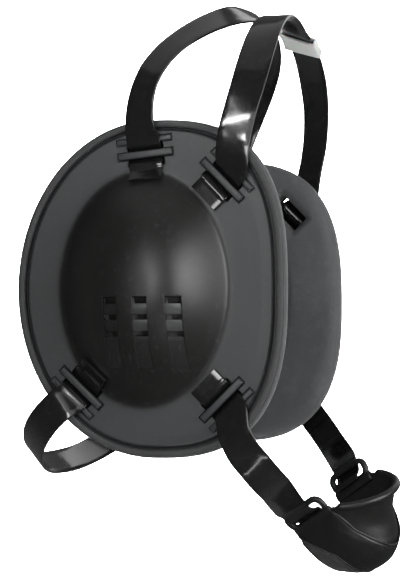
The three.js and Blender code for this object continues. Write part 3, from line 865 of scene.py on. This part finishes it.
def pad_rings():
    outside = [(0.1, 0.0), (0.05, 0.05), (0.01, 0.14), (0.0, 0.26), (0.005, 0.38), (0.03, 0.5),
               (0.08, 0.62), (0.15, 0.73), (0.25, 0.83), (0.37, 0.91), (0.51, 0.96), (0.66, 0.99),
               (0.82, 1.0)]
    inside = [(0.62, 1.0), (0.48, 0.99), (0.34, 0.96), (0.22, 0.91), (0.12, 0.84), (0.05, 0.74),
              (0.01, 0.6), (0.0, 0.44), (0.0, 0.26), (0.02, 0.1), (0.08, 0.0)]
    rings = []
    for inset, deep in outside:
        rings.append(outline_ring(inset * PAD_ROUND, PAD_TOP - deep * PAD_THICKNESS))
    for inset, deep in inside:
        extra = inset * PAD_ROUND
        z = PAD_TOP - deep * PAD_THICKNESS
        rings.append(oval_ring(EAR_HALF_WIDTH + extra, EAR_HALF_HEIGHT + extra, 0, z))
    for k, ring in enumerate(rings):
        for angle, p in zip(angles(), ring):
            deep = (PAD_TOP - p.z) / PAD_THICKNESS
            ripple = 0.16 * math.sin(5 * angle + 0.7 * k) + 0.1 * math.sin(11 * angle + 1.9)
            p.z += max(0.0, ripple + 0.2) * deep
    return rings


POCKET_MARGIN = 1.5
LOWER_POCKET_DEPTH = 3
UPPER_POCKET_DEPTH = 8
OPEN_POCKET_DEPTH = PAD_THICKNESS + 2
pocket_reach = BAR_WIDTH / 2 + SLOT_WIDTH / 2 + POCKET_MARGIN
pocket_half = STRAP_WIDTH / 2 + POCKET_MARGIN


def pocket_cutter(place, depth):
    """A tool for the recess behind an anchor. Where it goes through, its mouth flares."""
    rings = []
    levels = [(6, 0), (0, 0), (-depth, 0)]
    if depth > PAD_THICKNESS:
        levels = [(6, 0), (0, 0), (-PAD_THICKNESS + 4, 0), (-PAD_THICKNESS + 2.3, 0.6),
                  (-PAD_THICKNESS + 0.9, 1.9), (-PAD_THICKNESS - 0.4, 3.9), (-depth, 4.4)]
    for z, flare in levels:
        corner = 1.2 + flare * 0.5
        rings.append(rounded_ring(pocket_reach + flare, pocket_half + flare, corner, PAD_TOP + z, 4))
    return from_rings("pocket", rings, place=place)


def foam_ring(name, open_anchors):
    """A foam ring with a recess behind each anchor, cut right through at the open ones."""
    pad = from_rings(name, pad_rings(), True, RIGHT_CUP)
    for key, anchor in ANCHORS.items():
        depth = LOWER_POCKET_DEPTH if key.startswith("bottom") else UPPER_POCKET_DEPTH
        if key in open_anchors:
            depth = OPEN_POCKET_DEPTH
        carve(pad, [pocket_cutter(RIGHT_CUP @ anchor_matrix(*anchor), depth)])
    shade(pad.data, 45)
    return pad


right_pad = foam_ring("right_foam_ring", ())
left_open = foam_ring("left_open", ("top_front",))
left_pad = mirror_copy(left_open, "left_foam_ring", 45)
bpy.data.objects.remove(left_open)
for pad, node in ((right_pad, "right_pad"), (left_pad, "left_pad")):
    dress(pad, PAD_FINISH, "pad", node)
print("pad faces:", len(right_pad.data.polygons))

# %% [markdown]
# ## Straps
# Each strap is a flat band that leaves one cup's anchor, goes round the head and enters the
# other cup's. Its route is a table: how far to the side, ahead and up it is, and how far its
# width is turned. The same kind of curve as in the solids runs through it, in finer steps. The
# right chin strap's table has one row less than the solid's, which keeps it free of a wave. The
# band's section has rounded edges, because those edges are what catches the light.

# %% Strap routes
HALF_SPAN = FACE_X + 2.5
CROWN = (48, 133)
NAPE = (74, 82)
CHIN = (65, 95)
REAR_CROWN_ROUTE = [
    (-1.024, -0.084, 0.535, -18), (-1.019, -0.085, 0.597, -23), (-0.994, -0.058, 0.667, -24),
    (-0.949, 0.013, 0.74, -17), (-0.87, 0.135, 0.812, -7), (-0.738, 0.292, 0.88, 6),
    (-0.543, 0.45, 0.944, 18), (-0.302, 0.577, 0.995, 30), (-0.051, 0.655, 1.017, 33),
    (0.197, 0.671, 1.013, 47), (0.446, 0.615, 0.984, 44), (0.686, 0.501, 0.931, 31),
    (0.886, 0.346, 0.858, 15), (1.008, 0.181, 0.76, 8), (1.022, 0.038, 0.637, 6),
]
FRONT_CROWN_ROUTE = [
    (-1.02, 0.782, 0.445, -3), (-1.015, 0.807, 0.51, 3), (-0.999, 0.846, 0.577, 2),
    (-0.972, 0.892, 0.647, 7), (-0.926, 0.929, 0.72, 9), (-0.85, 0.955, 0.793, 6),
    (-0.739, 0.969, 0.862, 1), (-0.597, 0.975, 0.92, -1), (-0.433, 0.981, 0.962, -1),
    (-0.25, 0.994, 0.981, 9), (-0.031, 1.007, 0.978, 22), (0.23, 1.017, 0.954, 20),
    (0.507, 1.012, 0.907, 14), (0.747, 0.99, 0.838, 13), (0.918, 0.96, 0.75, 22),
    (1.009, 0.918, 0.643, 24), (1.022, 0.854, 0.52, 25),
]
NAPE_ROUTE = [
    (-1.02, -0.547, -0.628, 5), (-1.012, -0.619, -0.685, 6), (-0.954, -0.7, -0.75, 1),
    (-0.838, -0.784, -0.818, 0), (-0.67, -0.863, -0.885, 0), (-0.462, -0.93, -0.943, -2),
    (-0.231, -0.977, -0.986, -5), (0.009, -1.002, -1.008, -11), (0.247, -1.002, -1.009, -11),
    (0.473, -0.979, -0.991, -15), (0.674, -0.935, -0.951, -15), (0.837, -0.875, -0.894, -10),
    (0.952, -0.798, -0.825, -4), (1.012, -0.707, -0.75, -1), (1.022, -0.602, -0.669, 0),
]
CHIN_RIGHT_ROUTE = [
    (-1.018, 0.587, -0.661, -6), (-1.021, 0.647, -0.744, -12), (-1.001, 0.723, -0.812, -19),
    (-0.937, 0.781, -0.875, -17), (-0.809, 0.81, -0.927, -15),
]
CHIN_LEFT_ROUTE = [
    (1.021, 0.605, -0.608, -8), (0.998, 0.66, -0.655, -10), (0.929, 0.744, -0.714, -9),
    (0.812, 0.853, -0.793, -4),
]
FRONTWARD = Vector((0, -1, 0))
NAPEWARD = Vector((0, -0.6, -0.8)).normalized()
CHINWARD = Vector((-0.2, -0.75, 0.6))


def anchor_sections(anchor, side, way):
    """A strap's centre and width way from its loose tail, under the bar and over the rib."""
    cup = cup_matrix(side)
    place = anchor_matrix(*anchor)
    half = BAR_WIDTH / 2
    middle = half + SLOT_WIDTH * 0.42
    rest = GAP + STRAP_THICKNESS / 2
    under = -BAR_SINK - GAP - STRAP_THICKNESS / 2 - 0.6
    in_slot = under + 1.6
    over_rib = RIB_CROWN + rest
    profile = [
        (-TAIL_LENGTH, None), (-TAIL_LENGTH + 2.5, None), (-SLOT_REACH - 1.6, None),
        (-SLOT_REACH + 0.4, None), (-middle, in_slot), (-half - 0.2, under), (half + 0.2, under),
        (middle, in_slot), (half + SLOT_WIDTH * 0.76, over_rib),
        (SLOT_REACH + RIB_WIDTH / 2, over_rib + 0.8),
    ]
    sections = []
    for out, z in profile:
        centre = place @ Vector((out, 0, 0))
        nearby = [place @ Vector((out + step, share * STRAP_WIDTH, 0))
                  for step in (-1, 0, 1) for share in (-0.5, 0, 0.5)]
        if z is None:
            z = max(bare_height(p.x, p.y) for p in nearby) + rest + 0.35
        centre.z = z
        across = place.to_3x3() @ Vector((0, -1, 0))
        if side > 0:
            centre.x = -centre.x
            across.x = -across.x
        across = cup.to_3x3() @ across
        sections.append((cup @ centre, across * (1 if across.dot(way) > 0 else -1)))
    return sections


def bare_height(x, y):
    """Height of the solid's skin, which has no fillet."""
    share = dome_share_at(x, y)
    return 0.0 if share >= 1 else DOME_RISE * (1 - share ** DOME_BULGE) ** DOME_SOFTNESS


def orthogonal(across, tangent):
    return (across - tangent * across.dot(tangent)).normalized()


def route_sections(route, size, way):
    reach, height = size
    points = [Vector((side * HALF_SPAN, -ahead * reach, up * height)) for side, ahead, up, _ in route]
    sections = []
    for i, (_, _, _, turn) in enumerate(route):
        tangent = (points[min(i + 1, len(points) - 1)] - points[max(i - 1, 0)]).normalized()
        across = Matrix.Rotation(math.radians(turn), 3, tangent) @ orthogonal(way, tangent)
        sections.append((points[i], across))
    return sections


def curve_point(points, t):
    """A point on the smooth curve through the points, and the way it runs there."""
    at = t * (len(points) - 1)
    k = min(int(at), len(points) - 2)
    w = at - k
    p1 = points[k]
    p2 = points[k + 1]
    p0 = points[k - 1] if k > 0 else points[0] * 2 - points[1]
    p3 = points[k + 2] if k + 2 < len(points) else points[-1] * 2 - points[-2]
    d1 = (p2 - p1).length ** 0.5
    d0 = (p1 - p0).length ** 0.5 or d1
    d2 = (p3 - p2).length ** 0.5 or d1
    m1 = ((p1 - p0) / d0 - (p2 - p0) / (d0 + d1) + (p2 - p1) / d1) * d1
    m2 = ((p2 - p1) / d1 - (p3 - p1) / (d1 + d2) + (p3 - p2) / d2) * d1
    c2 = -3 * p1 + 3 * p2 - 2 * m1 - m2
    c3 = 2 * p1 - 2 * p2 + m1 + m2
    point = p1 + m1 * w + c2 * w * w + c3 * w * w * w
    tangent = (m1 + 2 * c2 * w + 3 * c3 * w * w).normalized()
    return point, tangent


BAND_STEPS = 7
EDGE_ROUND = 0.45


def band_section():
    """The band's outline across its width: flat faces and rounded edges."""
    half_width = STRAP_WIDTH / 2
    half_thick = STRAP_THICKNESS / 2
    outline = []
    for side, start in ((1, -90), (1, 0), (-1, 90), (-1, 180)):
        up = -1 if start in (-90, 180) else 1
        for step in range(4):
            turn = math.radians(start + 30 * step)
            outline.append((side * (half_width - EDGE_ROUND) + EDGE_ROUND * math.cos(turn),
                            up * (half_thick - EDGE_ROUND) + EDGE_ROUND * math.sin(turn)))
        if start in (0, 180):
            for share in (0.6, 0.2, -0.2, -0.6):
                outline.append((side * share * half_width, up * half_thick))
    return outline


def smooth_between(near, w):
    """A value between the middle two of four, with no break in its slope at either."""
    before, a, b, after = near
    rise = (b - before) / 2
    fall = (after - a) / 2
    return ((2 * w ** 3 - 3 * w ** 2 + 1) * a + (w ** 3 - 2 * w ** 2 + w) * rise
            + (3 * w ** 2 - 2 * w ** 3) * b + (w ** 3 - w ** 2) * fall)


def band(name, sections):
    """A strap's mesh through its sections."""
    points = [p for p, _ in sections]
    last = len(sections) - 1
    rings = []
    for i in range(last * BAND_STEPS + 1):
        t = i / (last * BAND_STEPS)
        k = min(i // BAND_STEPS, last - 1)
        blend = i / BAND_STEPS - k
        centre, tangent = curve_point(points, t)
        near = [sections[min(max(k + step, 0), last)][1] for step in (-1, 0, 1, 2)]
        wide = orthogonal(smooth_between(near, blend), tangent)
        thick = tangent.cross(wide).normalized()
        rings.append([centre + wide * w + thick * h for w, h in band_section()])
    return from_rings(name, rings, smooth_angle=60)


def between_cups(anchor, route, size, way):
    start = anchor_sections(ANCHORS[anchor], -1, way)
    end = anchor_sections(ANCHORS[anchor], 1, way)[::-1]
    return start + route_sections(route, size, way) + end


# %% Crown and nape straps
crown_rear = band("rear_crown_band", between_cups("top_rear", REAR_CROWN_ROUTE, CROWN, FRONTWARD))
crown_front = band("front_crown_band", between_cups("top_front", FRONT_CROWN_ROUTE, CROWN, FRONTWARD))
nape = band("nape_band", between_cups("bottom_rear", NAPE_ROUTE, NAPE, NAPEWARD))
dress(crown_rear, STRAP_FINISH, "strap", "rear_crown_strap")
dress(crown_front, STRAP_FINISH, "strap", "front_crown_strap")
dress(nape, STRAP_FINISH, "strap", "nape_strap")
print("faces in one crown strap:", len(crown_rear.data.polygons))

# %% [markdown]
# ## Keeper
# The keeper is a sleeve that hugs the front crown strap and bends with it. Two rounded outlines,
# one inside the other, make its wall, and its ends turn out by a hair where they were cut.

# %% Keeper
KEEPER_LENGTH = 14
KEEPER_WALL = 1.2
KEEPER_OVERHANG = 1.8
KEEPER_AT = 0.26


def keeper_place(shift):
    """Centre, and ways along and across the strap, at a distance from the keeper's middle."""
    sections = route_sections(FRONT_CROWN_ROUTE, CROWN, FRONTWARD)
    points = [p for p, _ in sections]
    goal = KEEPER_AT * HALF_SPAN
    after = next(i for i, p in enumerate(points) if p.x > goal)
    blend = (goal - points[after - 1].x) / (points[after].x - points[after - 1].x)
    at = after - 1 + blend + shift / (points[after] - points[after - 1]).length
    centre, along = curve_point(points, at / (len(points) - 1))
    k = int(at)
    wide = orthogonal(sections[k][1].lerp(sections[k + 1][1], at - k), along)
    return axes(along, wide, along.cross(wide), centre)


def sleeve_ring(shift, low, high, half, radius):
    place = keeper_place(shift)
    ring = []
    for sy, sz, start in QUARTERS:
        y = high - radius if sy > 0 else low + radius
        z = sz * (half - radius)
        for step in range(6):
            turn = math.radians(start + 18 * step)
            ring.append(place @ Vector((0, y + radius * math.cos(turn), z + radius * math.sin(turn))))
    return ring


def keeper_rings():
    front = STRAP_WIDTH / 2 + GAP + 0.2
    rear = -STRAP_WIDTH / 2 - KEEPER_OVERHANG
    half = STRAP_THICKNESS / 2 + GAP
    reach = KEEPER_LENGTH / 2
    rings = []
    for share, wall in ((-1.5, 0.75), (-1.46, 1.0), (-1.1, 0.97), (-0.6, 0.86), (-0.1, 0.82), (0.4, 0.86),
                        (0.8, 0.97), (0.97, 1.0), (1, 0.75)):
        thick = KEEPER_WALL * wall
        rings.append(sleeve_ring(share * reach, rear - thick, front + thick, half + thick, 1.0))
    for share in (1, 0.97, 0.5, 0, -0.5, -1.0, -1.46, -1.5):
        extra = 0.15 if share in (1, -1.5) else 0.0
        rings.append(sleeve_ring(share * reach, rear - extra, front + extra, half + extra, 0.5))
    return rings


keeper = from_rings("pale_keeper", keeper_rings(), True)
dress(keeper, KEEPER_FINISH, "keeper", "crown_keeper")

# %% [markdown]
# ## Chin cup
# The chin cup is a soft bowl with an open mouth above and behind, and a slotted frame at each
# side for the straps. Sections run from the mouth's rim round the front to the rear lower edge.
# The rim is rolled over, so a bead follows it. The lower half laps over the upper one in a step
# that drops from the frames to the front, and a seam below it marks off the lighter sole.

# %% Chin cup
CHIN_YAW = 17
CHIN_ROLL = 17
CHIN_HALF_WIDTH = 24
CHIN_DEPTH = 38.6
CHIN_LENGTH = 34.5
CHIN_WALL = 2.2
FRAME_LENGTH = 24.5
FRAME_DEPTH = 11
FRAME_THICKNESS = 3
FRAME_BAR = 3
# For each section: forward and up at its ends, forward and up at its middle, and its bulge.
CHIN_SECTIONS = [
    (0.36, 0.05, 1.0, 0.06, 0.0), (0.33, 0.01, 0.91, -0.12, 0.01), (0.3, -0.03, 0.87, -0.3, 0.02),
    (0.24, -0.07, 0.9, -0.48, 0.03), (0.2, -0.1, 0.91, -0.61, 0.04), (0.1, -0.15, 0.8, -0.8, 0.04),
    (0.0, -0.2, 0.6, -0.93, 0.03), (-0.12, -0.25, 0.4, -0.99, 0.02), (-0.22, -0.3, 0.22, -1.0, 0.0),
]
CHIN_LAST = len(CHIN_SECTIONS) - 1
CHIN_TILT = Matrix.Rotation(math.radians(-CHIN_ROLL), 4, "Y")
CHIN_PLACE = Matrix.Rotation(math.radians(-CHIN_YAW), 4, "Z") @ CHIN_TILT
CHIN_PLACE.translation = Vector((0, -CHIN[0], -CHIN[1]))
FRAME_SLOPE = math.atan2(0.34 * CHIN_DEPTH, 0.58 * CHIN_LENGTH)
CHIN_FINE = 8
CHIN_COLUMNS = 72
FLAP_PROUD = 0.9
# Where the flap and the sole begin, from the bowl's middle at 0.5 round to a frame at 1.
FLAP_EDGE = [
    (0.5, 4.1), (0.58, 3.9), (0.66, 3.4), (0.74, 2.9), (0.8, 2.6), (0.86, 1.9), (0.92, 1.3), (0.98, 0.8),
]
SOLE_EDGE = [(0.5, 6.4), (0.6, 6.35), (0.72, 6.2), (0.82, 6.1), (0.88, 6.7), (0.94, 7.5), (0.99, 8.0)]


def along_table(table, place):
    """The value of a table at a place, straight between its rows."""
    if place <= table[0][0]:
        return table[0][1]
    for (a, low), (b, high) in zip(table, table[1:]):
        if place <= b:
            return low + (high - low) * (place - a) / (b - a)
    return table[-1][1]


def row_at(place):
    """The section at a place along the bowl, 0 at the rim, with smooth ones between the table's."""
    k = min(int(place), CHIN_LAST - 1)
    w = place - k
    before = CHIN_SECTIONS[max(k - 1, 0)]
    after = CHIN_SECTIONS[min(k + 2, CHIN_LAST)]
    return [smooth_between(near, w) for near in zip(before, CHIN_SECTIONS[k], CHIN_SECTIONS[k + 1], after)]


def bowl_point(row, turn, inset):
    """A point of the bowl's skin, from the left frame at 0 to the right frame at 1."""
    end_forward, end_up, mid_forward, mid_up, out = row
    sweep = math.sin(math.pi * turn)
    bend = max(sweep, 0.0) ** 1.1
    end_y = -end_forward * CHIN_LENGTH
    end_z = end_up * CHIN_DEPTH
    mid_y = -mid_forward * CHIN_LENGTH + inset
    low = min(1.0, max(0.0, (-mid_up - 0.5) / 0.2))
    mid_z = mid_up * CHIN_DEPTH + inset * low
    half = CHIN_HALF_WIDTH * (1 + out * sweep) - inset
    x = half * math.cos(math.pi * turn)
    return Vector((x, end_y + (mid_y - end_y) * bend, end_z + (mid_z - end_z) * bend))


def bowl_rings():
    rows = [row_at(i / CHIN_FINE) for i in range(CHIN_LAST * CHIN_FINE + 1)]
    rings = []
    for i in range(CHIN_COLUMNS + 1):
        turn = i / CHIN_COLUMNS
        side = max(turn, 1 - turn)
        flap = along_table(FLAP_EDGE, side)
        outside = []
        for j, row in enumerate(rows):
            over = min(1.0, max(0.0, (j / CHIN_FINE - flap) / 0.2))
            fade = min(1.0, (8.2 - j / CHIN_FINE) / 1.5, (1.0 - side) / 0.06)
            outside.append(bowl_point(row, turn, -FLAP_PROUD * over * fade))
        inside = [bowl_point(row, turn, CHIN_WALL) for row in rows][::-1]
        rings.append(outside + inside)
    return rings


def frame_matrix(side):
    """x runs out along the strap, y along the slot and z through the frame."""
    slot = Vector((0, -math.cos(FRAME_SLOPE), math.sin(FRAME_SLOPE)))
    lean = Vector((side * 0.35, math.sin(FRAME_SLOPE), math.cos(FRAME_SLOPE))).normalized()
    at = (side * (CHIN_HALF_WIDTH - CHIN_WALL / 2), -0.07 * CHIN_LENGTH, -0.14 * CHIN_DEPTH)
    return axes(lean, slot, lean.cross(slot), at)


def tube(name, points, radius, closed=False):
    """A round bead through points in millimetres."""
    rings = []
    for i, p in enumerate(points):
        before = points[max(i - 1, 0)]
        after = points[min(i + 1, len(points) - 1)]
        tangent = (after - before).normalized()
        side = orthogonal(Vector((0.1, 0.2, 1)), tangent)
        up = tangent.cross(side)
        size = radius * min(1.0, 0.25 + 0.4 * min(i, len(points) - 1 - i))
        rings.append([p + side * (size * math.cos(a)) + up * (size * math.sin(a))
                      for a in [math.pi * step / 6 for step in range(12)]])
    return from_rings(name, rings, closed, CHIN_PLACE, 60)


def loop_frame(place):
    """A thick rubber loop with round corners, which the strap is threaded through."""
    corner = 3.2
    wire = FRAME_BAR / 2
    low_x, high_x = wire, FRAME_DEPTH - wire
    high_y = FRAME_LENGTH / 2 - wire
    path = []
    for cx, cy, start in ((high_x - corner, high_y - corner, 0), (low_x + corner, high_y - corner, 90),
                          (low_x + corner, corner - high_y, 180), (high_x - corner, corner - high_y, 270)):
        for step in range(9):
            turn = math.radians(start + 90 * step / 8)
            out = Vector((math.cos(turn), math.sin(turn), 0))
            path.append((Vector((cx, cy, 0)) + out * corner, out))
    rings = []
    for centre, out in path:
        ring = []
        for step in range(12):
            turn = 2 * math.pi * step / 12
            c, s = math.cos(turn), math.sin(turn)
            across = math.copysign(abs(c) ** 0.7, c) * wire
            up = math.copysign(abs(s) ** 0.7, s) * FRAME_THICKNESS / 2
            ring.append(centre + out * across + Vector((0, 0, up)))
        rings.append(ring)
    return from_rings("loop_frame", rings, True, place, 60)


bowl = from_rings("chin_bowl", bowl_rings(), place=CHIN_PLACE, smooth_angle=45)
bowl_count = len(bowl.data.vertices)
parts = [bowl]
for side in (-1, 1):
    place = CHIN_PLACE @ frame_matrix(side)
    half = FRAME_LENGTH / 2
    root_low = (-FRAME_BAR, -half, -FRAME_THICKNESS / 2)
    root_high = (FRAME_BAR - 0.6, half, FRAME_THICKNESS / 2)
    parts.append(loop_frame(place))
    parts.append(rounded_box("frame_root", root_low, root_high, 1.2, place))
rim = row_at(0)
lip = [bowl_point(rim, 0.04 + 0.92 * i / 60, CHIN_WALL * 0.35) + Vector((0, 0, 0.2)) for i in range(61)]
parts.append(tube("rolled_lip", lip, 1.9))
hem = [bowl_point(row_at(CHIN_LAST), 0.05 + 0.9 * i / 60, CHIN_WALL * 0.5) for i in range(61)]
parts.append(tube("lower_hem", hem, 1.35))
for edge, radius, proud in ((FLAP_EDGE, 0.55, 0.55), (SOLE_EDGE, 0.4, 0.9)):
    line = []
    for i in range(81):
        turn = 0.02 + 0.96 * i / 80
        line.append(bowl_point(row_at(along_table(edge, max(turn, 1 - turn))), turn, -proud))
    parts.append(tube("seam", line, radius))
chin_cup = join("soft_chin_cup", parts, 45)
outer_rows = CHIN_LAST * CHIN_FINE
ring_size = 2 * (outer_rows + 1)
sole_values = []
for index in range(bowl_count - 2):
    turn = (index // ring_size) / CHIN_COLUMNS
    row = index % ring_size
    edge = along_table(SOLE_EDGE, max(turn, 1 - turn))
    sole_values.append(1.0 if row <= outer_rows and row / CHIN_FINE > edge else 0.0)
paint(chin_cup, "sole", sole_values)
dress(chin_cup, CHIN_FINISH, "chin", "chin_cup")
print("chin cup faces:", len(chin_cup.data.polygons))

# %% [markdown]
# ## Chin straps
# These leave the cups' lower front anchors and end at the chin cup. Each lies over its loop's
# outer bar, dives through the slot and tucks in under the inner bar. Its last free stretch
# turns little by little towards the loop, so the twist is spread out.

# %% Chin straps
# How far out along the frame, how far through it and how far aside, from outside to the end.
FRAME_PASS = [
    (2.6, 1.5, 0.5), (1.3, 1, 0), (0.7, 0.8, 0), (0.2, 0.45, 0),
    (-0.25, 0, 0), (-0.6, -0.55, 0), (-1, -1, 0), (-1.8, -1.1, 0),
]


def frame_sections(side):
    place = CHIN_PLACE @ frame_matrix(side)
    middle = FRAME_DEPTH / 2
    half_slot = middle - FRAME_BAR
    lift = FRAME_THICKNESS / 2 + GAP + STRAP_THICKNESS / 2 + 0.1
    back = FRAME_LENGTH / 2 - FRAME_BAR - STRAP_WIDTH / 2 - GAP - 0.1
    across = place.to_3x3() @ Vector((0, 1, 0))
    sections = []
    for along, through, aside in FRAME_PASS:
        centre = Vector((middle + along * half_slot, -back - side * aside, side * through * lift))
        sections.append((place @ centre, across))
    return sections


def chin_band(name, side, route):
    start = anchor_sections(ANCHORS["bottom_front"], side, CHINWARD)
    free = route_sections(route, CHIN, CHINWARD)
    held = frame_sections(side)
    for back, share in ((1, 0.35), (2, 0.1)):
        centre, across = free[-back]
        free[-back] = (centre, across.lerp(held[0][1], share).normalized())
    return band(name, start + free + held)


chin_right = chin_band("right_chin_band", -1, CHIN_RIGHT_ROUTE)
chin_left = chin_band("left_chin_band", 1, CHIN_LEFT_ROUTE)
dress(chin_right, STRAP_FINISH, "strap", "chin_strap_right")
dress(chin_left, STRAP_FINISH, "strap", "chin_strap_left")
